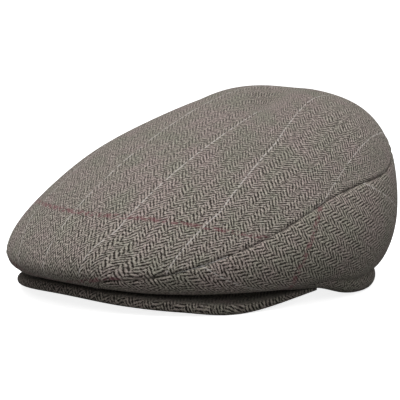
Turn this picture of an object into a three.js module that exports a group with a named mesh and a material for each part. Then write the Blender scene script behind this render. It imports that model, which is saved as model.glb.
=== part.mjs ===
// Flat cap: a soft crown cut as one top panel and two side panels, over a stiff forward peak.
// Millimetres, +Z up. The peak points to -Y, and the wearer's left is +X.
// The origin lies under the middle of the crown, on the surface that the cap rests on.

import * as THREE from 'three';

// Driving dimensions of the crown
const CROWN_LENGTH = 275;
const CROWN_WIDTH = 200;
const CROWN_HEIGHT = 121;
const HIGH_POINT_SETBACK = 51;
const CLOTH = 2;
const SEAM_GAP = 0.3;

// Driving dimensions of the opening for the head, and of the soft lip that rolls out behind it
const HEAD_LENGTH = 197;
const HEAD_WIDTH = 165;
const HEAD_SETBACK = 14.5;
const LIP_ROLL = 8;
const HEM_STRIP = 12;

// Driving dimensions of the peak, whose reach is taken from the middle of the head's opening
const PEAK_REACH = 137;
const PEAK_WIDTH = 184;
const PEAK_THICKNESS = 6;
const PEAK_ARCH = 6.2;
const PEAK_END = 86;

// Degrees from the front at which the two side panels taper to their front points,
// the stretch over which their seams climb from the hem, and the share of it that is cut off blunt
const SIDE_POINT = 4;
const SIDE_POINT_CLIMB = 16;
const SIDE_POINT_BLUNT = 0.12;

// Sections of the crown, a row for every 30 degrees from the front round to the nape.
// hem and rim are heights and lip is a roll, as shares of the crown's height and of the lip's roll.
// under, rise and crest are the lengths of the curves' handles, as shares of what they span.
const SECTIONS = [
  { angle: 0, hem: 0.105, rim: 0.2, under: 0.7, rise: 0.28, crest: 0.35, lip: 0, seam: 0.34 },
  { angle: 30, hem: 0.085, rim: 0.21, under: 0.65, rise: 0.3, crest: 0.36, lip: 0, seam: 0.37 },
  { angle: 60, hem: 0.085, rim: 0.215, under: 0.59, rise: 0.35, crest: 0.36, lip: 0.08, seam: 0.47 },
  { angle: 90, hem: 0.03, rim: 0.26, under: 0.53, rise: 0.44, crest: 0.45, lip: 0.5, seam: 0.56 },
  { angle: 120, hem: 0, rim: 0.35, under: 0.5, rise: 0.61, crest: 0.66, lip: 0.9, seam: 0.545 },
  { angle: 150, hem: 0, rim: 0.46, under: 0.46, rise: 0.73, crest: 0.79, lip: 1, seam: 0.57 },
  { angle: 180, hem: 0, rim: 0.56, under: 0.44, rise: 0.74, crest: 0.76, lip: 1, seam: 0.6 },
];

// Sections of the peak, a row for every 20 degrees from the front.
// lift is the height of the lower edge as a share of the peak's arch.
// board and reach are shares of the peak's thickness and of its width over the hem.
// The last row lies past the peak's end and gives the slope towards it.
const PEAK_SECTIONS = [
  { angle: 0, lift: 1, board: 1, reach: 1 },
  { angle: 20, lift: 0.73, board: 1, reach: 1 },
  { angle: 40, lift: 0.36, board: 1, reach: 1 },
  { angle: 60, lift: 0, board: 0.96, reach: 1 },
  { angle: 80, lift: 0.9, board: 0.48, reach: 0.6 },
  { angle: 100, lift: 1.4, board: -0.3, reach: -1 },
];

// The hem arches up over each ear: the middle and half width of the arch in degrees from the front,
// and its height as a share of the crown's height
const EAR_ARCH = { angle: 84, wide: 11, height: 0.03 };

// Soft dents in the top, and swells, whose depth is below zero. side and back place each one from
// the middle of the crown, long and wide are its half sizes, all as shares of the crown's half width
// or half length, turn is in degrees, and depth is a share of the crown's height.
const DENTS = [
  { side: 0.165, back: 0.3, long: 0.18, wide: 0.085, turn: 22, depth: 0.06 },
  { side: 0.325, back: 0.32, long: 0.2, wide: 0.085, turn: 22, depth: -0.013 },
  { side: -0.3, back: 0.12, long: 0.26, wide: 0.14, turn: -14, depth: 0.012 },
  { side: -0.5, back: -0.36, long: 0.2, wide: 0.22, turn: 0, depth: -0.011 },
];

// Outlines seen from above: how square each one is, 1 for an ellipse and less for fuller corners
const FULLNESS = { front: 0.965, back: 0.945, peak: 0.81 };

// The lip's section is part of an ellipse, in shares of the lip's roll: its middle lies out from
// the hem and up, and its arc runs between two angles from the hem's edge over the top.
const LIP = { out: 0.55, up: 0.77, reach: 0.72, height: 0.88, start: -140, end: 70 };

// Places along a section, from the hem's edge (0) to the high point (1)
const LIP_TOP_SHARE = 0.18;
const RIM_SHARE = 0.4;

// The crease over the lip is softened over this stretch of the section, up to this far from it
const FOLD_SHARE = 0.035;
const FOLD_REACH_SHARE = 0.09;

// How finely the surfaces are divided
const ROUND_STEPS = 72;
const TOP_STEPS = 15;
const TOP_CROWDING = 1.4;
const SKIRT_STEPS = 3;
const LIP_STEPS = 8;
const SIDE_STEPS = 9;
const PEAK_STEPS = 40;
const PEAK_RUNS = 4;
const NOSE_STEPS = 4;

const UP = new THREE.Vector3(0, 0, 1);
const HIGH_POINT = new THREE.Vector3(0, HIGH_POINT_SETBACK, CROWN_HEIGHT);
const ROUND = 2 * Math.PI;
const SMALL_TURN = 0.002;
const SMALL_STEP = 0.002;
const { degToRad, radToDeg, clamp, lerp, smoothstep } = THREE.MathUtils;

// Reads a named column of a table of evenly spaced angles along a smooth curve
function readColumn(table, column, turn) {
  const half = Math.abs(((turn + Math.PI) % ROUND + ROUND) % ROUND - Math.PI);
  const last = table.length - 1;
  const place = clamp(radToDeg(half) / (table[1].angle - table[0].angle), 0, last);
  const row = Math.min(Math.floor(place), last - 1);
  const t = place - row;
  const mirrored = (k) => table[k < 0 ? -k : k > last ? 2 * last - k : k][column];
  const [a, b, c, d] = [mirrored(row - 1), mirrored(row), mirrored(row + 1), mirrored(row + 2)];
  const bend = (2 * a - 5 * b + 4 * c - d) * t * t + (3 * b - a - 3 * c + d) * t * t * t;
  return (2 * b + (c - a) * t + bend) / 2;
}

// The crown's rim, its widest line, at a turn from the front towards the wearer's left
function rimPoint(turn) {
  const side = Math.sin(turn);
  const ahead = Math.cos(turn);
  const power = ahead > 0 ? FULLNESS.front : FULLNESS.back;
  const reach = ahead > 0 ? CROWN_LENGTH / 2 + HEAD_SETBACK : CROWN_LENGTH / 2 - HEAD_SETBACK;
  return new THREE.Vector3(
    CROWN_WIDTH / 2 * Math.sign(side) * Math.abs(side) ** power,
    HEAD_SETBACK - reach * Math.sign(ahead) * Math.abs(ahead) ** power,
    CROWN_HEIGHT * readColumn(SECTIONS, 'rim', turn),
  );
}

// The edge of the opening for the head
function hemPoint(turn) {
  const fromEar = (radToDeg(Math.abs(turn)) - EAR_ARCH.angle) / EAR_ARCH.wide;
  const arch = EAR_ARCH.height * Math.exp(-fromEar * fromEar);
  return new THREE.Vector3(
    HEAD_WIDTH / 2 * Math.sin(turn),
    HEAD_SETBACK - HEAD_LENGTH / 2 * Math.cos(turn),
    CROWN_HEIGHT * (readColumn(SECTIONS, 'hem', turn) + arch),
  );
}

// The level direction that leads out of the opening at a turn
function hemOutward(turn) {
  return new THREE.Vector3(HEAD_LENGTH * Math.sin(turn), -HEAD_WIDTH * Math.cos(turn), 0).normalize();
}

// A point of the rolled lip, from the hem's edge (0) to where the lip meets the crown's underside (1)
function lipPoint(turn, share) {
  const roll = clamp(readColumn(SECTIONS, 'lip', turn), 0, 1);
  const bend = degToRad(lerp(LIP.start, LIP.end, share));
  const out = lerp(HEM_STRIP * share, LIP_ROLL * (LIP.out + LIP.reach * Math.cos(bend)), roll);
  const up = roll * LIP_ROLL * (LIP.up + LIP.height * Math.sin(bend));
  return hemPoint(turn).addScaledVector(hemOutward(turn), out).addScaledVector(UP, up);
}

function bezierPoint(start, startHandle, endHandle, end, t) {
  return new THREE.CubicBezierCurve3(start, startHandle, endHandle, end).getPoint(t);
}

// The crown's section before its folds are softened
function sectionPoint(turn, place) {
  if (place < LIP_TOP_SHARE) {
    return lipPoint(turn, place / LIP_TOP_SHARE);
  }
  const rim = rimPoint(turn);
  if (place < RIM_SHARE) {
    const start = lipPoint(turn, 1);
    const handle = readColumn(SECTIONS, 'under', turn);
    const outward = rim.clone().sub(start).setZ(0).multiplyScalar(handle);
    const below = rim.clone().addScaledVector(UP, (start.z - rim.z) * handle);
    const up = (place - LIP_TOP_SHARE) / (RIM_SHARE - LIP_TOP_SHARE);
    return bezierPoint(start, start.clone().add(outward), below, rim, up);
  }
  const above = rim.clone().addScaledVector(UP, (HIGH_POINT.z - rim.z) * readColumn(SECTIONS, 'rise', turn));
  const outward = rim.clone().sub(HIGH_POINT).setZ(0).multiplyScalar(readColumn(SECTIONS, 'crest', turn));
  const up = (place - RIM_SHARE) / (1 - RIM_SHARE);
  return bezierPoint(rim, above, HIGH_POINT.clone().add(outward), HIGH_POINT, up);
}

// How far the dents press the cloth down at a point of the crown
function dentDepth(point) {
  let depth = 0;
  for (const dent of DENTS) {
    const x = point.x - dent.side * CROWN_WIDTH / 2;
    const y = point.y - dent.back * CROWN_LENGTH / 2;
    const turn = degToRad(dent.turn);
    const across = (x * Math.cos(turn) + y * Math.sin(turn)) / (dent.wide * CROWN_WIDTH / 2);
    const along = (y * Math.cos(turn) - x * Math.sin(turn)) / (dent.long * CROWN_LENGTH / 2);
    depth += dent.depth * CROWN_HEIGHT * Math.exp(-across * across - along * along);
  }
  return depth * smoothstep(point.z / CROWN_HEIGHT, 0.3, 0.6);
}

// The crown's outer face, with its folds softened and its dents pressed in
function crownPoint(turn, place) {
  const reach = FOLD_SHARE * Math.max(0, 1 - Math.abs(place - LIP_TOP_SHARE) / FOLD_REACH_SHARE);
  const point = sectionPoint(turn, place).multiplyScalar(2);
  point.add(sectionPoint(turn, place - reach)).add(sectionPoint(turn, place + reach)).divideScalar(4);
  return point.addScaledVector(UP, -dentDepth(point));
}

// The direction that points out of the crown's outer face
function crownOutward(turn, place) {
  if (place > 1 - SMALL_STEP) {
    return UP.clone();
  }
  const low = Math.max(place - SMALL_STEP, 0);
  const round = crownPoint(turn + SMALL_TURN, place).sub(crownPoint(turn - SMALL_TURN, place));
  const along = crownPoint(turn, place + SMALL_STEP).sub(crownPoint(turn, low));
  return round.cross(along).normalize();
}

// A point of the cloth: its outer face, flattened where the cap rests, or its inner face
function clothPoint(turn, place, inside) {
  const point = crownPoint(turn, place);
  if (inside) {
    point.addScaledVector(crownOutward(turn, place), -CLOTH);
  }
  point.z = Math.max(point.z, inside ? CLOTH : 0);
  return point;
}

// Where the seam between the top panel and a side panel runs, as a place along the section
function seamPlace(turn) {
  const half = Math.abs(turn);
  const start = degToRad(SIDE_POINT);
  const climb = smoothstep(half, start, start + degToRad(SIDE_POINT_CLIMB));
  return readColumn(SECTIONS, 'seam', turn) * climb;
}

// Half of the seam's gap, turned from a length across the seam into a part of the section
function seamMargin(turn) {
  const place = seamPlace(turn);
  const along = crownPoint(turn, place + SMALL_STEP).sub(crownPoint(turn, place)).divideScalar(SMALL_STEP);
  const next = crownPoint(turn + SMALL_TURN, seamPlace(turn + SMALL_TURN));
  const run = next.sub(crownPoint(turn, place)).normalize();
  return SEAM_GAP / 2 / along.cross(run).length();
}

// Places spread evenly from one to another, without the last
function spread(from, to, steps, crowding = 1) {
  return Array.from({ length: steps }, (_, step) => lerp(from, to, (step / steps) ** crowding));
}

// A closed body, made of strings of points with faces between them
class Body {
  constructor() {
    this.points = [];
    this.faces = [];
  }

  add(point) {
    return this.points.push(point) - 1;
  }

  // A string of points up the cloth at one turn. Places that fall together share a point.
  addString(turn, places, inside) {
    const string = [];
    places.forEach((place, step) => {
      const same = step > 0 && place === places[step - 1];
      string.push(same ? string[step - 1] : this.add(clothPoint(turn, place, inside)));
    });
    return string;
  }

  triangle(a, b, c) {
    if (a !== b && b !== c && c !== a) {
      this.faces.push([a, b, c]);
    }
  }

  // Four corners, split between the first and the third
  quad(a, b, c, d) {
    this.triangle(a, b, c);
    this.triangle(a, c, d);
  }

  // Four corners of a curved face, split along the shorter way across
  patch(a, b, c, d) {
    const [one, two, three, four] = [a, b, c, d].map((corner) => this.points[corner]);
    if (one.distanceTo(three) <= two.distanceTo(four)) {
      this.quad(a, b, c, d);
    } else {
      this.quad(b, c, d, a);
    }
  }

  // Faces between two strings that have the same number of points
  bridge(first, second, closed = false) {
    const count = closed ? first.length : first.length - 1;
    for (let i = 0; i < count; i += 1) {
      const next = (i + 1) % first.length;
      this.patch(first[i], first[next], second[next], second[i]);
    }
  }

  mesh(name, color) {
    const positions = this.points.flatMap((point) => [point.x, point.y, point.z]);
    const geometry = new THREE.BufferGeometry();
    geometry.setAttribute('position', new THREE.Float32BufferAttribute(positions, 3));
    geometry.setIndex(this.faces.flat());
    geometry.computeVertexNormals();
    const material = new THREE.MeshStandardMaterial({ color, roughness: 0.95, metalness: 0 });
    const mesh = new THREE.Mesh(geometry, material);
    mesh.name = name;
    return mesh;
  }
}

// The top panel: a bowl of cloth from the seam, or from the hem at the front, up to the high point.
// Where it reaches under the front rim, a skirt of further rows leads down to its edge.
function makeTopPanel() {
  const body = new Body();
  const skirtTop = Math.min(...SECTIONS.map((section) => section.seam));
  const columns = [];
  for (let i = 0; i < ROUND_STEPS; i += 1) {
    const turn = ROUND * i / ROUND_STEPS - Math.PI;
    const seam = seamPlace(turn);
    const edge = seam > 0 ? seam + seamMargin(turn) : 0;
    const base = Math.max(edge, skirtTop);
    const places = [...spread(edge, base, SKIRT_STEPS), ...spread(base, 1, TOP_STEPS, TOP_CROWDING)];
    columns.push({ outer: body.addString(turn, places, false), inner: body.addString(turn, places, true) });
  }
  const outerTip = body.add(clothPoint(0, 1, false));
  const innerTip = body.add(clothPoint(0, 1, true));
  columns.forEach((here, i) => {
    const next = columns[(i + 1) % ROUND_STEPS];
    body.bridge(next.outer, here.outer);
    body.bridge(here.inner, next.inner);
    body.quad(here.inner[0], next.inner[0], next.outer[0], here.outer[0]);
    body.triangle(here.outer.at(-1), next.outer.at(-1), outerTip);
    body.triangle(next.inner.at(-1), here.inner.at(-1), innerTip);
  });
  return body.mesh('top_panel', 0x6b665f);
}

// One side panel: from its point under the front round to the seam at the nape.
// side is 1 for the wearer's left and -1 for the right.
function makeSidePanel(name, side) {
  const body = new Body();
  const stepTurn = ROUND / ROUND_STEPS;
  const nape = Math.PI - SEAM_GAP / HEAD_WIDTH;
  const point = degToRad(SIDE_POINT + SIDE_POINT_CLIMB * SIDE_POINT_BLUNT);
  const turns = [point];
  for (let i = Math.ceil(point / stepTurn + 0.5); i * stepTurn < nape; i += 1) {
    turns.push(i * stepTurn);
  }
  turns.push(nape);
  const columns = turns.map((turn) => {
    const edge = seamPlace(turn) - seamMargin(turn);
    const crease = Math.min(edge, LIP_TOP_SHARE);
    const places = [...spread(0, crease, LIP_STEPS), ...spread(crease, edge, SIDE_STEPS), edge];
    const [outer, inner] = [false, true].map((inside) => body.addString(side * turn, places, inside));
    return { outer, inner };
  });
  if (side < 0) {
    columns.reverse();
  }
  for (let i = 1; i < columns.length; i += 1) {
    const [here, next] = [columns[i - 1], columns[i]];
    body.bridge(next.outer, here.outer);
    body.bridge(here.inner, next.inner);
    body.quad(here.inner[0], next.inner[0], next.outer[0], here.outer[0]);
    body.quad(next.outer.at(-1), next.inner.at(-1), here.inner.at(-1), here.outer.at(-1));
  }
  body.bridge(columns[0].outer, columns[0].inner);
  body.bridge(columns.at(-1).inner, columns.at(-1).outer);
  return body.mesh(name, 0x635e57);
}

// The outer edge of the peak at a turn, level
function peakEdge(turn) {
  const side = Math.sin(turn);
  const hem = hemPoint(turn).setZ(0);
  const edge = new THREE.Vector3(
    PEAK_WIDTH / 2 * Math.sign(side) * Math.abs(side) ** FULLNESS.peak,
    HEAD_SETBACK - PEAK_REACH * Math.cos(turn) ** FULLNESS.peak,
    0,
  );
  return hem.lerp(edge, readColumn(PEAK_SECTIONS, 'reach', turn));
}

// The peak: a covered board, thick and round-edged, that lies under the crown's front rim.
// Its rear edge is sewn along the hem, and its ends run out at the temples.
function makePeak() {
  const body = new Body();
  const rows = [];
  for (let step = 0; step <= PEAK_STEPS; step += 1) {
    const turn = degToRad(PEAK_END) * (2 * step / PEAK_STEPS - 1);
    const board = PEAK_THICKNESS * readColumn(PEAK_SECTIONS, 'board', turn);
    const lift = PEAK_ARCH * readColumn(PEAK_SECTIONS, 'lift', turn);
    const roll = clamp(readColumn(SECTIONS, 'lip', turn), 0, 1);
    const sag = roll * LIP_ROLL * Math.max(LIP.height - LIP.up, 0);
    const seat = hemPoint(turn).z - sag - SEAM_GAP;
    const rear = hemPoint(turn).setZ(0);
    const edge = peakEdge(turn);
    const nose = board / 2;
    const span = rear.distanceTo(edge);
    const row = [];
    const place = (out, height) => {
      const point = rear.clone().lerp(edge, out / span);
      row.push(body.add(point.setZ(Math.max(height, 0))));
    };
    const middle = (share) => lerp(seat, Math.min(lift + board, seat), share) - nose;
    for (let run = 0; run < PEAK_RUNS; run += 1) {
      place((span - nose) * run / PEAK_RUNS, middle(run / PEAK_RUNS) + nose);
    }
    for (let bend = 0; bend <= NOSE_STEPS; bend += 1) {
      const angle = Math.PI * (0.5 - bend / NOSE_STEPS);
      place(span - nose + nose * Math.cos(angle), middle(1) + nose * Math.sin(angle));
    }
    for (let run = PEAK_RUNS - 1; run >= 0; run -= 1) {
      place((span - nose) * run / PEAK_RUNS, middle(run / PEAK_RUNS) - nose);
    }
    rows.push(row);
  }
  for (let step = 1; step <= PEAK_STEPS; step += 1) {
    body.bridge(rows[step - 1], rows[step], true);
  }
  for (const [row, turned] of [[rows[0], true], [rows.at(-1), false]]) {
    for (let i = 0; i < row.length / 2 - 1; i += 1) {
      const corners = [row[i], row[i + 1], row[row.length - 2 - i], row[row.length - 1 - i]];
      body.quad(...(turned ? corners.reverse() : corners));
    }
  }
  return body.mesh('peak', 0x57524c);
}

const cap = new THREE.Group();
cap.add(makeTopPanel());
cap.add(makeSidePanel('side_panel_left', 1));
cap.add(makeSidePanel('side_panel_right', -1));
cap.add(makePeak());

export default cap;
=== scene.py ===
import math

import bmesh
import bpy
import numpy as np
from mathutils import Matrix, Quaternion, Vector


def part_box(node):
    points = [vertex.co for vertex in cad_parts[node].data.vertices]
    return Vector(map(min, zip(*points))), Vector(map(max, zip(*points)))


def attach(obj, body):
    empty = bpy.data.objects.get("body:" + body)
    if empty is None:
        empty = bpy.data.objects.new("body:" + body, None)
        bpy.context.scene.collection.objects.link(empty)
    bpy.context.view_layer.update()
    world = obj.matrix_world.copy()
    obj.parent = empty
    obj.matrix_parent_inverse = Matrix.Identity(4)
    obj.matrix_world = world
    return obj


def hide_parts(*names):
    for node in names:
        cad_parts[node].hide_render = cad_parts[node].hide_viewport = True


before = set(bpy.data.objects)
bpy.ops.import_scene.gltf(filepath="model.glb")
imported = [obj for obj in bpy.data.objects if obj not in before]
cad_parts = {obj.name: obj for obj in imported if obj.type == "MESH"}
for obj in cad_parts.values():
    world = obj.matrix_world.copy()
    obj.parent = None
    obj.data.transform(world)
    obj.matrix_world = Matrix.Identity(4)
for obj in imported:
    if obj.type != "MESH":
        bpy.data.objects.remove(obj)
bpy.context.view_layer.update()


# The top panel: one piece of herringbone wool tweed over the whole top of the cap. It is steamed
# into a dome, folded under at the front rim, and sewn to the two side panels along its long curved
# edges, with the raw edges turned inside.

top_low, top_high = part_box("top_panel")
side_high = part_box("side_panel_left")[1]
crown_width = 2 * side_high.x
crown_length = side_high.y - top_low.y
crown_height = top_high.z
high_point = np.array([0, 0.051, crown_height])
head_length = 0.197
head_width = 0.165
head_setback = 0.0145
cloth_thickness = 0.002
seam_gap = 0.00008

# Turns run from the front (0) round to the nape. Places run along a section of the crown, from the
# hem's edge (0) past the top of the rolled lip and the rim, its widest line, to the high point (1).
lip_top = 0.18
rim_place = 0.4

# The crown's sections, for every 30 degrees from the front round to the nape: heights as shares of
# the crown's, the handles of its curves, how far the lip is rolled, and the places of the seams
section_step = 30
hem_heights = [0.105, 0.085, 0.085, 0.03, 0, 0, 0]
rim_heights = [0.2, 0.21, 0.215, 0.26, 0.35, 0.46, 0.56]
under_handles = [0.7, 0.65, 0.59, 0.53, 0.5, 0.46, 0.44]
rise_handles = [0.28, 0.3, 0.35, 0.44, 0.61, 0.73, 0.74]
crest_handles = [0.35, 0.36, 0.36, 0.45, 0.66, 0.79, 0.76]
lip_rolls = [0, 0, 0.08, 0.5, 0.9, 1, 1]
seam_places = [0.34, 0.37, 0.47, 0.56, 0.545, 0.57, 0.6]
seam_draws = [1.2, 2, 0.7, 1.1, 1, 1, 1]

# The rim is a little squarer than an ellipse, more so at the back
front_power = 0.965
back_power = 0.945

# The hem's arch over each ear: turn and spread (degrees), and rise as a share of the crown's height
ear_turn = 84
ear_spread = 11
ear_rise = 0.03

# The hem is a plain strip in front. Behind the ears it is a rolled lip: its size, the arc that it
# turns through (degrees), and that arc's middle and radius, outward and up, as shares of its size.
hem_strip = 0.012
lip_roll = 0.008
lip_start = -140
lip_sweep = 210
lip_middle = (0.55, 0.77)
lip_radius = (0.72, 0.88)

# How far to either side the crease over the lip is softened, and how far from it that still shows
crease_softness = 0.035
crease_reach = 0.09

# Soft dents in the top, and swells, whose depth is below zero: side, back, long, wide (metres),
# turn (degrees) and depth (metres). They fade out between two shares of the crown's height.
dents = [
    (0.0165, 0.041, 0.025, 0.0085, 22, 0.008),
    (0.0325, 0.044, 0.028, 0.0085, 22, -0.0016),
    (-0.03, 0.0165, 0.036, 0.014, -14, 0.0015),
    (-0.05, -0.05, 0.0275, 0.022, 0, -0.0013),
]
dents_end = 0.3
dents_full = 0.6

# The cloth sags a little under the rim at each temple: turn and spread in degrees, then places
sag_turn = 52
sag_spread = 22
sag_place = 0.29
sag_reach = 0.08
sag_depth = 0.0011


def ease(value, low, high):
    """A smooth step from 0 at low to 1 at high."""
    t = np.clip((value - low) / (high - low), 0, 1)
    return t * t * (3 - 2 * t)


def bump(value, middle, spread):
    """A smooth bump of height 1 at its middle."""
    return np.exp(-(((value - middle) / spread) ** 2))


def from_front(turn):
    """How far a turn lies from the front on either side, from 0 to pi."""
    return np.abs((turn + math.pi) % (2 * math.pi) - math.pi)


def read_round(values, turn, step=section_step):
    """Reads a column of values along a smooth curve, at a turn from the front in radians."""
    values = np.asarray(values, dtype=float)
    last = len(values) - 1
    place = np.clip(np.degrees(from_front(turn)) / step, 0, last)
    row = np.minimum(place.astype(int), last - 1)
    t = place - row
    a, b, c, d = (values[last - np.abs(last - np.abs(row + k))] for k in (-1, 0, 1, 2))
    bend = (2 * a - 5 * b + 4 * c - d) * t**2 + (3 * b - a - 3 * c + d) * t**3
    return (2 * b + (c - a) * t + bend) / 2


def rim_line(turn):
    """The crown's rim, its widest line."""
    side, ahead = np.sin(turn), np.cos(turn)
    power = np.where(ahead > 0, front_power, back_power)
    reach = crown_length / 2 + np.where(ahead > 0, head_setback, -head_setback)
    x = crown_width / 2 * np.sign(side) * np.abs(side) ** power
    y = head_setback - reach * np.sign(ahead) * np.abs(ahead) ** power
    return np.stack([x, y, crown_height * read_round(rim_heights, turn)], -1)


def hem_line(turn):
    """The edge of the opening for the head, arched up over each ear."""
    arch = ear_rise * bump(np.degrees(np.abs(turn)), ear_turn, ear_spread)
    x = head_width / 2 * np.sin(turn)
    y = head_setback - head_length / 2 * np.cos(turn)
    return np.stack([x, y, crown_height * (read_round(hem_heights, turn) + arch)], -1)


def lip_point(turn, share):
    """The rolled lip, from the hem's edge (0) to where it meets the crown's underside (1)."""
    outward = np.stack([head_length * np.sin(turn), -head_width * np.cos(turn), 0 * turn], -1)
    outward /= np.linalg.norm(outward, axis=-1, keepdims=True)
    roll = np.clip(read_round(lip_rolls, turn), 0, 1)
    bend = np.radians(lip_start + lip_sweep * share)
    rolled = lip_roll * (lip_middle[0] + lip_radius[0] * np.cos(bend))
    out = hem_strip * share * (1 - roll) + rolled * roll
    point = hem_line(turn) + outward * out[:, None]
    point[:, 2] += roll * lip_roll * (lip_middle[1] + lip_radius[1] * np.sin(bend))
    return point


def curve_point(start, first, second, end, t):
    """A cubic curve from start to end, drawn towards its two handles."""
    t = np.clip(t, 0, 1)[:, None]
    return (
        (1 - t) ** 3 * start
        + 3 * (1 - t) ** 2 * t * first
        + 3 * (1 - t) * t**2 * second
        + t**3 * end
    )


def section_point(turn, place):
    """A point of the crown's section at a turn, from the hem's edge (0) to the high point (1)."""
    lip = lip_point(turn, np.clip(place / lip_top, 0, 1))
    start = lip_point(turn, np.ones_like(turn))
    rim = rim_line(turn)
    under = read_round(under_handles, turn)[:, None]
    level = np.array([1, 1, 0])
    upright = np.array([0, 0, 1])
    first = start + (rim - start) * level * under
    second = rim + (start - rim) * upright * under
    belly = curve_point(start, first, second, rim, (place - lip_top) / (rim_place - lip_top))
    rise = read_round(rise_handles, turn)[:, None]
    crest = read_round(crest_handles, turn)[:, None]
    first = rim + (high_point - rim) * upright * rise
    second = high_point + (rim - high_point) * level * crest
    dome = curve_point(rim, first, second, high_point, (place - rim_place) / (1 - rim_place))
    in_lip = (place < lip_top)[:, None]
    in_belly = (place < rim_place)[:, None]
    return np.where(in_lip, lip, np.where(in_belly, belly, dome))


def crown_point(turn, place):
    """The crown's outer face, with its crease softened, its dents pressed in and its sag."""
    fold = crease_softness * np.maximum(0, 1 - np.abs(place - lip_top) / crease_reach)
    point = 2 * section_point(turn, place)
    point += section_point(turn, place - fold) + section_point(turn, place + fold)
    point /= 4
    shown = ease(point[:, 2] / crown_height, dents_end, dents_full)
    for side, back, long, wide, angle, depth in dents:
        x, y = point[:, 0] - side, point[:, 1] - back
        cos, sin = math.cos(math.radians(angle)), math.sin(math.radians(angle))
        spread = ((x * cos + y * sin) / wide) ** 2 + ((y * cos - x * sin) / long) ** 2
        point[:, 2] -= shown * depth * np.exp(-spread)
    sag = bump(np.degrees(np.abs(turn)), sag_turn, sag_spread) * bump(place, sag_place, sag_reach)
    point[:, 2] -= sag_depth * sag
    return point


def crown_outward(turn, place):
    """The direction out of the crown's face, which is straight up at the high point."""
    step = 0.002
    inner = np.minimum(place, 1 - 2 * step)
    low = np.maximum(inner - step, 0)
    sideways = crown_point(turn + step, inner) - crown_point(turn - step, inner)
    inwards = crown_point(turn, inner + step) - crown_point(turn, low)
    outward = np.cross(sideways, inwards)
    outward /= np.linalg.norm(outward, axis=-1, keepdims=True)
    share = ease(place, 1 - 4 * step, 1)[:, None]
    outward = outward * (1 - share) + np.array([0, 0, 1]) * share
    return outward / np.linalg.norm(outward, axis=-1, keepdims=True)


# The seams leave the hem near the front and reach their own places by a second turn (degrees)
seam_start = 4
seam_full = 20


def seam_place(turn):
    """Where the seam between the top panel and a side panel runs, as a place along the section."""
    return read_round(seam_places, turn) * ease(np.degrees(from_front(turn)), seam_start, seam_full)


def seam_across(turn):
    """How far a full change of place leads across the seam, in metres."""
    place, step = seam_place(turn), 0.002
    here = crown_point(turn, place)
    along = (crown_point(turn, place + step) - here) / step
    run = crown_point(turn + step, seam_place(turn + step)) - here
    run /= np.linalg.norm(run, axis=-1, keepdims=True)
    return np.linalg.norm(np.cross(along, run), axis=-1)


def run_along(points):
    """How far each point of a line lies from its first, in metres. Lines may be stacked."""
    steps = np.linalg.norm(np.diff(points, axis=-2), axis=-1)
    return np.concatenate([np.zeros_like(steps[..., :1]), steps.cumsum(axis=-1)], axis=-1)


# The puckers beside a seam: height, wavelength (metres), wander, the wander's length (metres), and
# how many times the wave is shifted on the wearer's right, so that the two seams differ
puckers = [(1, 0.0093, 1.9, 0.0071, 1), (0.7, 0.0154, 2.3, 0.013, 2)]
pucker_height = 0.00022
pucker_reach = 0.007
pucker_start = 0.002
right_shift = 1.7

# They come and go along the seam, about an even share
fading_even = 0.6
fading_height = 0.4
fading_length = 0.017
fading_shift = 1

# How unevenly the stitches draw the cloth in: height, length (metres) and shifts on the right
draw_waves = [(0.25, 0.0047, 1), (0.2, 0.0021, 3)]
draw_even = 0.6
draw_width = 0.0008

# The swell of the cloth beside the stitches: how far away, and how wide (metres)
swell_away = 0.0025
swell_width = 0.002

# The seam is measured in this many steps
seam_steps = 400


def seam_relief(turn, distance, draw, swell):
    """The cloth beside a seam: drawn down into it, swollen a little way off, and puckered."""
    turns = np.linspace(0, math.pi, seam_steps)
    run = np.interp(from_front(turn), turns, run_along(crown_point(turns, seam_place(turns))))
    shift = np.where(turn > 0, 0, right_shift)
    pucker = 0
    for height, wave, wander, length, times in puckers:
        wandering = wander * np.sin(run / length + times * shift)
        pucker += height * np.sin(2 * math.pi * run / wave + wandering)
    pucker *= fading_even + fading_height * np.sin(run / fading_length + fading_shift + shift)
    uneven = draw_even
    for height, length, times in draw_waves:
        uneven = uneven + height * np.sin(run / length + times * shift)
    uneven = uneven * read_round(seam_draws, turn)
    drawn = -draw * uneven * bump(distance, 0, draw_width)
    swollen = swell * bump(distance, swell_away, swell_width)
    fading = np.exp(-distance / pucker_reach) * ease(distance, 0, pucker_start)
    return drawn + swollen + pucker_height * pucker * fading


def grid_places(sheet):
    """The places of a unit grid's points, across and along, from -1 to 1."""
    return np.array([vertex.co[:2] for vertex in sheet.verts]).T


def shape_mesh(name, sheet, points, maps):
    """Makes a mesh of a grid, with its points put in place and its cloth maps laid."""
    mesh = bpy.data.meshes.new(name)
    sheet.to_mesh(mesh)
    sheet.free()
    mesh.vertices.foreach_set("co", np.ascontiguousarray(points, dtype=np.float32).ravel())
    corners = np.empty(len(mesh.loops), dtype=np.int32)
    mesh.loops.foreach_get("vertex_index", corners)
    for map_name, values in maps.items():
        layer = mesh.uv_layers.new(name=map_name)
        layer.data.foreach_set("uv", np.ascontiguousarray(values[corners], np.float32).ravel())
    return mesh


def add_object(name, data):
    """Puts a new object in the scene."""
    added = bpy.data.objects.new(name, data)
    bpy.context.scene.collection.objects.link(added)
    return added


def make_cloth(name, sheet, points, maps, outward):
    """A panel of cloth: its faces turned outward and smoothed, and its thickness inside them."""
    mesh = shape_mesh(name, sheet, points, maps)
    mesh.update()
    normals = np.array([face.normal for face in mesh.polygons])
    first_corners = [face.vertices[0] for face in mesh.polygons]
    if (normals * outward[first_corners]).sum() < 0:
        mesh.flip_normals()
    mesh.shade_smooth()
    panel = add_object(name, mesh)
    wall = panel.modifiers.new("cloth", "SOLIDIFY")
    wall.thickness = cloth_thickness
    wall.offset = -1
    return panel


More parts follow.
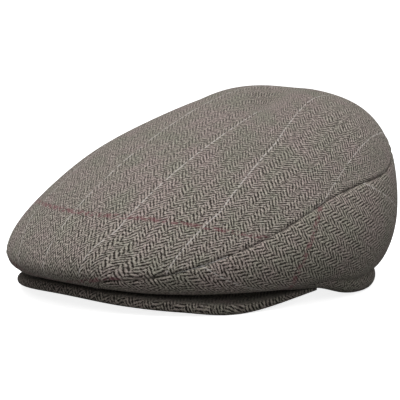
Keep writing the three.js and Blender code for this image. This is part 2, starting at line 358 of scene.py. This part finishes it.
def bend_into_rings(across, along):
    """Each grid point's turn from the front, and its ring, from the middle (0) to the edge (1)."""
    ring = np.maximum(np.abs(across), np.abs(along))
    wide = np.abs(across) >= np.abs(along)
    with np.errstate(divide="ignore", invalid="ignore"):
        spoke = np.where(wide, along / across, across / along) * math.pi / 4
    spoke = np.where(ring > 0, spoke, 0)
    at_side = np.where(across > 0, math.pi / 2 + spoke, -math.pi / 2 + spoke)
    at_end = np.where(along > 0, math.pi - spoke, -spoke)
    turn = np.where(wide, at_side, at_end)
    return (turn + math.pi) % (2 * math.pi) - math.pi, ring


# How the top's cloth is laid. Over the front rim it is let out sideways, between two distances ahead.
front_fold = (0.112, 0.137)
front_spread = 0.36

# The dome gathers the stripes in a band to each side. Its size, distance out and width are each a
# value above the ears and the change for each metre back. The width changes behind the ears only.
gather_size = (0.0165, 0.25)
gather_out = (0.057, -0.25)
gather_width = (0.022, 0.2)
gather_calm = 0.03

# It also draws them together towards the nape, lets them out at the sides, and bows the weft
nape_draw = (33.5, 215)
side_spread = 0.15
side_spread_from = 0.076
weft_bow = 5.7

# The weave takes a share of all this, so that its columns stay even. The stripes take it whole.
weave_share = 0.5

# Each way from the high point is measured in this many steps
path_steps = 40


def lay_top_flat(turn, place, points):
    """The top's cloth laid flat and measured out from the high point, for its weave and stripes."""
    shares = np.linspace(0, 1, path_steps)[None, :]
    places = (1 - (1 - place[:, None]) * shares).ravel()
    path = crown_point(np.repeat(turn, path_steps), places).reshape(len(turn), path_steps, 3)
    reach = run_along(path)[:, -1]
    level = points[:, :2] - high_point[:2]
    level /= np.maximum(np.linalg.norm(level, axis=-1, keepdims=True), 1e-6)
    ahead = -crown_point(turn, np.maximum(place, rim_place))[:, 1]
    flat_x = level[:, 0] * reach * (1 + front_spread * ease(ahead, *front_fold))
    flat_y = high_point[1] + level[:, 1] * reach
    out = np.abs(flat_x)
    y = points[:, 1]
    back = np.maximum(y, 0)
    band = bump(out, gather_out[0] + gather_out[1] * y, gather_width[0] + gather_width[1] * back)
    gather = np.maximum((gather_size[0] + gather_size[1] * y) * band, 0)
    gather *= ease(out, 0, gather_calm)
    gather += (nape_draw[0] + nape_draw[1] * y) * back * out**2
    gather += side_spread * np.maximum(out - side_spread_from, 0)
    gather *= np.sign(flat_x)
    bow = weft_bow * out**2
    return {
        "cloth": np.stack([flat_x + weave_share * gather, flat_y - weave_share * bow], -1),
        "overcheck": np.stack([flat_x + gather, flat_y - bow], -1),
    }


# The top's rows crowd towards its seam, where the stitches draw it in. The seam's relief fades in
# between two turns from the front (degrees).
top_crowding = 0.55
top_draw = 0.0009
top_swell = 0.00035
top_relief_turns = (5, 14)

top_sheet = bmesh.new()
bmesh.ops.create_grid(top_sheet, x_segments=200, y_segments=200, size=1)
turn, ring = bend_into_rings(*grid_places(top_sheet))
seam = seam_place(turn)
edge = np.where(seam > 0, seam + seam_gap / 2 / seam_across(turn), 0)
place = 1 - (1 - edge) * ring * (1 + top_crowding * (1 - ring))
top_outward = crown_outward(turn, place)
distance = (place - seam) * seam_across(turn)
relief = seam_relief(turn, distance, top_draw, top_swell)
relief *= ease(np.degrees(np.abs(turn)), *top_relief_turns)
top_points = crown_point(turn, place) + top_outward * relief[:, None]
top_points[:, 2] = np.maximum(top_points[:, 2], 0)
top_maps = lay_top_flat(turn, place, top_points)
top_panel = make_cloth("top_panel_cloth", top_sheet, top_points, top_maps, top_outward)


def add_node(tree, kind, inputs=(), **settings):
    """Adds a node. Inputs are given by name or number, as values or as the sockets that feed them."""
    node = tree.nodes.new(kind)
    for key, value in settings.items():
        setattr(node, key, value)
    for key, value in dict(inputs).items():
        if isinstance(value, bpy.types.NodeSocket):
            tree.links.new(value, node.inputs[key])
        else:
            node.inputs[key].default_value = value
    return node


def maths(tree, operation, *values):
    """A Math node with its values."""
    return add_node(tree, "ShaderNodeMath", dict(enumerate(values)), operation=operation).outputs[0]


def noise(tree, at, scale, detail, roughness=0.5):
    """A Noise Texture's outputs."""
    inputs = {"Vector": at, "Scale": scale, "Detail": detail, "Roughness": roughness}
    return add_node(tree, "ShaderNodeTexNoise", inputs).outputs


def map_range(tree, value, low, high, to_low=0.0, to_high=1.0, kind="LINEAR"):
    """Carries a value from one range to another, and holds it there."""
    inputs = {"Value": value, "From Min": low, "From Max": high, "To Min": to_low, "To Max": to_high}
    return add_node(tree, "ShaderNodeMapRange", inputs, interpolation_type=kind).outputs[0]


def mix(tree, factor, first, second, blend="MIX"):
    """Mixes two colours."""
    inputs = {0: factor, 6: first, 7: second}
    return add_node(tree, "ShaderNodeMix", inputs, data_type="RGBA", blend_type=blend).outputs[2]


def ramp(tree, value, low, high):
    """A colour ramp between two stops, each a place and a colour."""
    node = add_node(tree, "ShaderNodeValToRGB", {0: value})
    for stop, (position, colour) in zip(node.color_ramp.elements, (low, high)):
        stop.position = position
        stop.color = (*colour, 1)
    return node.outputs[0]


def new_group(name, inputs, outputs):
    """A node group with its inputs, of which one without a value is a vector, and its outputs."""
    group = bpy.data.node_groups.new(name, "ShaderNodeTree")
    for label, value in inputs.items():
        kind = "NodeSocketVector" if value is None else "NodeSocketFloat"
        socket = group.interface.new_socket(label, in_out="INPUT", socket_type=kind)
        if value is not None:
            socket.default_value = value
    for label in outputs:
        group.interface.new_socket(label, in_out="OUTPUT", socket_type="NodeSocketFloat")
    entry = group.nodes.new("NodeGroupInput").outputs
    return group, entry


def herringbone_group():
    """The weave: columns of slanting twill lines that turn at every column, of uneven yarns."""
    inputs = {
        "Cloth": None,
        "Column Width": 0.0042,
        "Twill Pitch": 0.0033,
        "Twill Slope": 1.3,
        "Softness": 0.42,
    }
    outputs = ("Light Yarn", "Slub", "Heather", "Height")
    group, entry = new_group("herringbone_weave", inputs, outputs)
    cloth = entry["Cloth"]
    shifted = cloth
    for scale, detail, sway in ((70, 2, 0.0022), (900, 1, 0.0004)):
        wobble = noise(group, cloth, scale, detail)["Color"]
        sway_inputs = {0: wobble, 1: (sway, sway, 0), 2: shifted}
        swayed = add_node(group, "ShaderNodeVectorMath", sway_inputs, operation="MULTIPLY_ADD")
        shifted = swayed.outputs[0]
    axes = add_node(group, "ShaderNodeSeparateXYZ", {0: shifted}).outputs
    column = maths(group, "DIVIDE", axes["X"], entry["Column Width"])
    turned = maths(group, "PINGPONG", column, 1.0)
    slanted = maths(group, "MULTIPLY", turned, entry["Column Width"])
    slanted = maths(group, "MULTIPLY", slanted, entry["Twill Slope"])
    number = maths(group, "FLOORED_MODULO", maths(group, "FLOOR", column), 2.0)
    half_pitch = maths(group, "MULTIPLY", entry["Twill Pitch"], 0.5)
    broken = maths(group, "MULTIPLY", number, half_pitch)
    line = maths(group, "ADD", maths(group, "ADD", axes["Y"], slanted), broken)
    line = maths(group, "DIVIDE", line, entry["Twill Pitch"])
    ridge = maths(group, "PINGPONG", maths(group, "MULTIPLY", line, 2.0), 1.0)
    slub = noise(group, cloth, 620, 3, 0.7)["Fac"]
    raised = maths(group, "ADD", ridge, maths(group, "MULTIPLY_ADD", slub, 3.4, -1.7))
    low = maths(group, "SUBTRACT", 0.5, entry["Softness"])
    high = maths(group, "ADD", 0.5, entry["Softness"])
    fibre = maths(group, "MULTIPLY", noise(group, cloth, 2200, 2, 0.6)["Fac"], 0.5)
    results = {
        "Light Yarn": map_range(group, raised, low, high, kind="SMOOTHSTEP"),
        "Slub": slub,
        "Heather": noise(group, cloth, 1000, 2, 0.7)["Fac"],
        "Height": maths(group, "ADD", maths(group, "MULTIPLY", ridge, 0.7), fibre),
    }
    add_node(group, "NodeGroupOutput", results)
    return group


def stripe_group():
    """A single coloured yarn woven in at wide spaces, which comes and goes as the weave covers it."""
    inputs = {
        "Across": 0,
        "Along": 0,
        "First": 0,
        "Spacing": 0.039,
        "Yarn": 0.0008,
        "Covered": 0.5,
    }
    group, entry = new_group("overcheck_yarn", inputs, ("Mask",))
    axes = {"X": entry["Across"], "Y": entry["Along"]}
    at = add_node(group, "ShaderNodeCombineXYZ", axes).outputs[0]
    sway = 0.0008
    placed = maths(group, "SUBTRACT", entry["Across"], entry["First"])
    placed = maths(group, "SUBTRACT", placed, sway / 2)
    placed = maths(group, "MULTIPLY_ADD", noise(group, at, 40, 1)["Fac"], sway, placed)
    half = maths(group, "MULTIPLY", entry["Spacing"], 0.5)
    away = maths(group, "PINGPONG", maths(group, "ADD", placed, half), half)
    away = maths(group, "SUBTRACT", half, away)
    core = maths(group, "MULTIPLY", entry["Yarn"], 0.35)
    line = map_range(group, away, entry["Yarn"], core, kind="SMOOTHSTEP")
    hidden = maths(group, "MULTIPLY", entry["Covered"], 0.9)
    bare = maths(group, "ADD", hidden, 0.14)
    shown = map_range(group, noise(group, at, 330, 2)["Fac"], hidden, bare)
    add_node(group, "NodeGroupOutput", {"Mask": maths(group, "MULTIPLY", line, shown)})
    return group


weave = herringbone_group()
stripe = stripe_group()
pale_yarn = (0.6, 0.56, 0.53, 1)
burgundy_yarn = (0.19, 0.06, 0.075, 1)
burgundy_spacing = 0.5

# How the yarn's colour varies: stops of a place and a factor for each colour, then the plain colour
# that upward-facing cloth is mixed towards and the flecks' colour, as shares of the yarns' own
# colours
heather_stops = ((0.36, (0.5, 0.47, 0.45)), (0.66, (1.6, 1.59, 1.57)))
cloud_stops = ((0.36, (0.92, 0.97, 0.87)), (0.64, (1.09, 1.0, 1.0)))
upward_plain_share = 0.45
fleck_shade = 1.45


def stripe_mask(tree, across, along, first, spacing, width, covered):
    """Where a coloured yarn shows: it runs along at every spacing, the first at a given place."""
    inputs = {
        "Across": across,
        "Along": along,
        "First": first,
        "Spacing": spacing,
        "Yarn": width,
        "Covered": covered,
    }
    return add_node(tree, "ShaderNodeGroup", inputs, node_tree=stripe).outputs[0]


def tweed_material(name, dark, light, pitch, stripes=None, burgundy_places=()):
    """Wool tweed: dark and light yarns in a herringbone, with pale stripes and burgundy lines."""
    material = bpy.data.materials.new(name)
    material.use_nodes = True
    tree = material.node_tree
    tree.nodes.clear()
    cloth = add_node(tree, "ShaderNodeUVMap", uv_map="cloth").outputs[0]
    check = add_node(tree, "ShaderNodeUVMap", uv_map="overcheck").outputs[0]
    check = add_node(tree, "ShaderNodeSeparateXYZ", {0: check}).outputs
    laid = {"Cloth": cloth, "Twill Pitch": pitch}
    woven = add_node(tree, "ShaderNodeGroup", laid, node_tree=weave).outputs
    yarn = mix(tree, woven["Light Yarn"], (*dark, 1), (*light, 1))

    # Cloth facing up is mixed a little towards one plain colour. Heather, flecks and clouds vary the
    # yarn.
    facing = add_node(tree, "ShaderNodeNewGeometry").outputs["Normal"]
    facing = add_node(tree, "ShaderNodeSeparateXYZ", {0: facing}).outputs[2]
    upward_blend = map_range(tree, facing, 0.7, 0.98, 0, 0.45)
    upward_plain = tuple(upward_plain_share * (low + high) for low, high in zip(dark, light))
    yarn = mix(tree, upward_blend, yarn, (*upward_plain, 1))
    yarn = mix(tree, 0.8, yarn, ramp(tree, woven["Heather"], *heather_stops), "MULTIPLY")
    fleck = map_range(tree, woven["Slub"], 0.6, 0.74, 0, 0.6)
    yarn = mix(tree, fleck, yarn, (*(fleck_shade * value for value in light), 1))
    object_place = add_node(tree, "ShaderNodeTexCoord").outputs["Object"]
    cloud = noise(tree, object_place, 55, 3, 0.6)["Fac"]
    yarn = mix(tree, 0.9, yarn, ramp(tree, cloud, *cloud_stops), "MULTIPLY")

    # The pale stripes run along the cloth and are given as the first one's place and their spacing.
    # The burgundy lines run across it, spaced wider than the cap, so that each shows once.
    x, y = check["X"], check["Y"]
    if stripes:
        pale = stripe_mask(tree, x, y, *stripes, width=0.00054, covered=0.435)
        yarn = mix(tree, maths(tree, "MULTIPLY", pale, 0.85), yarn, pale_yarn)
    for first in burgundy_places:
        burgundy = stripe_mask(tree, y, x, first, burgundy_spacing, width=0.0026, covered=0.47)
        yarn = mix(tree, maths(tree, "MULTIPLY", burgundy, 0.6), yarn, burgundy_yarn)

    raised = {"Height": woven["Height"], "Strength": 0.9, "Distance": 0.0004}
    finish = {
        "Base Color": yarn,
        "Normal": add_node(tree, "ShaderNodeBump", raised).outputs[0],
        "Roughness": 0.95,
        "Specular IOR Level": 0.2,
        "Sheen Weight": 0.25,
        "Sheen Roughness": 0.45,
        "Sheen Tint": (0.75, 0.7, 0.62, 1),
    }
    skin = add_node(tree, "ShaderNodeBsdfPrincipled", finish).outputs[0]
    add_node(tree, "ShaderNodeOutputMaterial", {"Surface": skin})
    return material


top_tweed = tweed_material(
    "top_tweed",
    dark=(0.03, 0.0255, 0.0235),
    light=(0.43, 0.394, 0.369),
    pitch=0.003,
    stripes=(-0.0015, 0.0385),
    burgundy_places=(-0.129, -0.179),
)
top_panel.data.materials.append(top_tweed)
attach(top_panel, "root")
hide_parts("top_panel")


# The side panels: two pieces of the same tweed, mirror images of each other. Each starts as a narrow
# point under the front rim, widens over the ear, meets the other at the nape, and ends below in the
# hem of the opening, whose edge rolls out behind the ear as a soft lip.

side_grain = math.radians(32)
point_turn = math.radians(seam_start + 0.12 * (seam_full - seam_start))
nape_turn = math.pi - seam_gap / head_width
side_draw = 0.0012
side_swell = 0.0001
side_relief_turns = (7, 16)

# The panel's rows crowd a little towards the middle of its height
side_crowding = 0.06

# The seam at the nape: how far it lies from the middle of the cap, and how it draws the cloth in
nape_reach = 0.1
nape_seam_depth = 0.0013
nape_seam_width = 0.0012
nape_seam_places = (0.02, 0.12)


def sort_into_strings(across, along):
    """The order that sorts a grid's points into strings, one for each step across."""
    strings = len(np.unique(across.round(6)))
    return np.lexsort((along, across)).reshape(strings, -1)


def lay_side_flat(strings, turn, place, points):
    """A side panel's cloth laid flat along the rim and up from it, and turned to its grain."""
    up = run_along(points[strings])
    rim_up = [np.interp(min(rim_place, p[-1]), p, u) for p, u in zip(place[strings], up)]
    flat_run = np.empty(len(turn))
    flat_up = np.empty(len(turn))
    flat_run[strings] = run_along(rim_line(turn[strings[:, 0]]))[:, None]
    flat_up[strings] = up - np.array(rim_up)[:, None]
    cos, sin = math.cos(side_grain), math.sin(side_grain)
    return np.stack([flat_run * sin + flat_up * cos, flat_run * cos - flat_up * sin], -1)


def make_side_panel(name, side):
    """One side panel, from its front point to the nape. side is 1 for the wearer's left."""
    sheet = bmesh.new()
    bmesh.ops.create_grid(sheet, x_segments=300, y_segments=70, size=1)
    across, along = grid_places(sheet)
    turn = point_turn + (nape_turn - point_turn) * (across + 1) / 2
    edge = seam_place(turn) - seam_gap / 2 / seam_across(turn)
    share = (along + 1) / 2
    place = edge * (share + side_crowding * np.sin(2 * math.pi * share))
    outward = crown_outward(side * turn, place)
    distance = (edge - place) * seam_across(turn)
    relief = seam_relief(side * turn, distance, side_draw, side_swell)
    relief *= ease(np.degrees(turn), *side_relief_turns)
    nape_seam = bump((nape_turn - turn) * nape_reach, 0, nape_seam_width)
    relief -= nape_seam_depth * nape_seam * ease(place, *nape_seam_places)
    points = crown_point(side * turn, place) + outward * relief[:, None]
    points[:, 2] = np.maximum(points[:, 2], 0)
    laid = lay_side_flat(sort_into_strings(across, along), turn, place, points)
    panel = make_cloth(name, sheet, points, {"cloth": laid, "overcheck": laid}, outward)
    panel.data.materials.append(side_tweed)
    return panel


side_tweed = tweed_material(
    "side_tweed",
    dark=(0.026, 0.022, 0.02),
    light=(0.45, 0.411, 0.382),
    pitch=0.0033,
    stripes=(0.0475, 0.0972),
    burgundy_places=(0.1265,),
)
side_panel_left = make_side_panel("side_panel_left_cloth", 1)
side_panel_right = make_side_panel("side_panel_right_cloth", -1)
for panel, node in ((side_panel_left, "side_panel_left"), (side_panel_right, "side_panel_right")):
    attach(panel, "root")
    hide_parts(node)


# The peak: a crescent of stiff board covered in the same tweed, which is drawn tight over its
# rounded front edge. Its rear edge is sewn along the hem, and its ends run out at the temples.

peak_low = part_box("peak")[0]
peak_reach = head_setback - peak_low.y
peak_width = 0.184
peak_thickness = 0.006
peak_arch = 0.0062
peak_end = math.radians(86)
peak_power = 0.81

# The peak's sections, for every 20 degrees from the front: shares of its arch, thickness and reach
peak_step = 20
peak_lifts = [1, 0.73, 0.36, 0, 0.9, 1.4]
peak_boards = [1, 1, 1, 0.96, 0.48, -0.3]
peak_reaches = [1, 1, 1, 1, 0.6, -1]

# Where the cover's run round the board leaves the top, the nose and the underside
top_end = 0.36
nose_end = 0.62
under_end = 0.98

peak_sheet = bmesh.new()
bmesh.ops.create_grid(peak_sheet, x_segments=160, y_segments=60, size=1)
across, along = grid_places(peak_sheet)
turn = peak_end * across
board = peak_thickness * read_round(peak_boards, turn, peak_step)
lift = peak_arch * read_round(peak_lifts, turn, peak_step)
hem = hem_line(turn)
rear = hem[:, :2]
lip_sink = lip_roll * (lip_radius[1] - lip_middle[1]) * np.clip(read_round(lip_rolls, turn), 0, 1)
seat = hem[:, 2] - lip_sink - seam_gap
edge_x = peak_width / 2 * np.sign(np.sin(turn)) * np.abs(np.sin(turn)) ** peak_power
edge_y = head_setback - peak_reach * np.cos(turn) ** peak_power
reach = read_round(peak_reaches, turn, peak_step)[:, None]
edge = rear * (1 - reach) + np.stack([edge_x, edge_y], -1) * reach
span = np.linalg.norm(edge - rear, axis=-1)
nose = board / 2
share = (along + 1) / 2
on_top = np.clip(share / top_end, 0, 1)
round_nose = np.clip((share - top_end) / (nose_end - top_end), 0, 1)
underneath = np.clip((share - nose_end) / (under_end - nose_end), 0, 1)
closing = np.clip((share - under_end) / (1 - under_end), 0, 1)
run = on_top - underneath
angle = math.pi * (0.5 - round_nose)
out = (span - nose) * run + nose * np.cos(angle)
middle = seat + (np.minimum(lift + board, seat) - seat) * run * (2 - run) - nose
height = np.maximum(middle + nose * np.sin(angle) + 2 * nose * closing, 0)
direction = (edge - rear) / np.maximum(span, 1e-6)[:, None]
peak_points = np.concatenate([rear + direction * out[:, None], height[:, None]], axis=1)

# The cover's cloth is laid from the nose back over the top and under, in the line of each section
strings = sort_into_strings(across, along)
drawn_over = run_along(peak_points[strings])
nose_point = strings.shape[1] // 2
drape = np.empty(len(across))
drape[strings] = drawn_over - drawn_over[:, nose_point, None]
laid = edge + direction * drape[:, None]
peak_maps = {"cloth": laid, "overcheck": laid}
peak_mesh = shape_mesh("peak_cover", peak_sheet, peak_points, peak_maps)
cover = bmesh.new()
cover.from_mesh(peak_mesh)
bmesh.ops.remove_doubles(cover, verts=cover.verts, dist=0.00001)
open_edges = [open_edge for open_edge in cover.edges if open_edge.is_boundary]
bmesh.ops.holes_fill(cover, edges=open_edges, sides=0)
bmesh.ops.recalc_face_normals(cover, faces=cover.faces)
cover.to_mesh(peak_mesh)
cover.free()
peak_mesh.shade_smooth()
peak_cover = add_object("peak_cover", peak_mesh)
# The peak's cover is the crown's tweed with much darker yarn colours: painted shade, for the shade it
# lies in under the crown's overhang.
peak_tweed = tweed_material(
    "peak_tweed",
    dark=(0.012, 0.0105, 0.01),
    light=(0.3, 0.273, 0.25),
    pitch=0.003,
)
peak_cover.data.materials.append(peak_tweed)
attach(peak_cover, "root")
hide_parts("peak")


# The studio: a plain pale surface that runs on behind the cap, large soft lights, and a camera at
# the photograph's angle. The surface gives the cap less light from below than the camera sees.

floor_size = 40
floor_drop = 0.0003
white = (1, 1, 1, 1)

floor_sheet = bmesh.new()
bmesh.ops.create_grid(floor_sheet, x_segments=1, y_segments=1, size=floor_size)
floor_mesh = bpy.data.meshes.new("floor")
floor_sheet.to_mesh(floor_mesh)
floor_sheet.free()
floor = add_object("floor", floor_mesh)
floor.location.z = -floor_drop
floor_material = bpy.data.materials.new("pale_floor")
floor_material.use_nodes = True
floor_tree = floor_material.node_tree
floor_skin = floor_tree.nodes["Principled BSDF"].inputs
seen = add_node(floor_tree, "ShaderNodeLightPath").outputs["Is Camera Ray"]
floor_paint = map_range(floor_tree, seen, 0, 1, 0.22, 0.95)
floor_glow = map_range(floor_tree, seen, 0, 1, 0, 0.85)
floor_tree.links.new(floor_paint, floor_skin["Base Color"])
floor_tree.links.new(floor_glow, floor_skin["Emission Strength"])
floor_skin["Emission Color"].default_value = white
floor_skin["Roughness"].default_value = 0.9
floor_skin["Specular IOR Level"].default_value = 0.0
floor.data.materials.append(floor_material)

world = bpy.data.worlds.new("studio")
world.use_nodes = True
sky_tree = world.node_tree
sky = sky_tree.nodes["Background"].inputs
upward = add_node(sky_tree, "ShaderNodeTexCoord").outputs["Generated"]
upward = add_node(sky_tree, "ShaderNodeSeparateXYZ", {0: upward}).outputs[2]
sky_glow = map_range(sky_tree, upward, 0, 0.7, 0.13, 0.38)
sky_tree.links.new(sky_glow, sky["Strength"])
sky["Color"].default_value = white
bpy.context.scene.world = world
bpy.context.scene.view_settings.view_transform = "Standard"


softbox_target = Vector((0, 0, 0.05))


def add_softbox(name, place, size, power):
    """A large soft light that faces the cap."""
    lamp = bpy.data.lights.new(name, "AREA")
    lamp.shape = "DISK"
    lamp.size = size
    lamp.energy = power
    light = add_object(name, lamp)
    light.location = place
    light.rotation_mode = "QUATERNION"
    light.rotation_quaternion = (softbox_target - Vector(place)).to_track_quat("-Z", "Y")


add_softbox("key", (0.2, -0.6, 2.0), size=1.5, power=29)
add_softbox("fill", (1.3, -1.5, 1.3), size=1.4, power=6.5)

azimuth = math.radians(40.35)
elevation = math.radians(7.41)
camera_roll = math.radians(1.855)
camera_distance = 1.1
camera_target = Vector((0, -0.0005, 0.05))
ahead = -math.cos(azimuth) * math.cos(elevation)
to_camera = Vector((math.sin(azimuth) * math.cos(elevation), ahead, math.sin(elevation)))
lens = bpy.data.cameras.new("camera")
lens.lens = 160.6
lens.sensor_width = 36
lens.shift_x = -0.0117
lens.shift_y = 0.0064
lens.clip_start = 0.05
lens.clip_end = 50
camera = add_object("camera", lens)
camera.location = camera_target + to_camera * camera_distance
camera.rotation_mode = "QUATERNION"
lean = Quaternion((0, 0, 1), camera_roll)
camera.rotation_quaternion = (-to_camera).to_track_quat("-Z", "Y") @ lean
bpy.context.scene.camera = camera
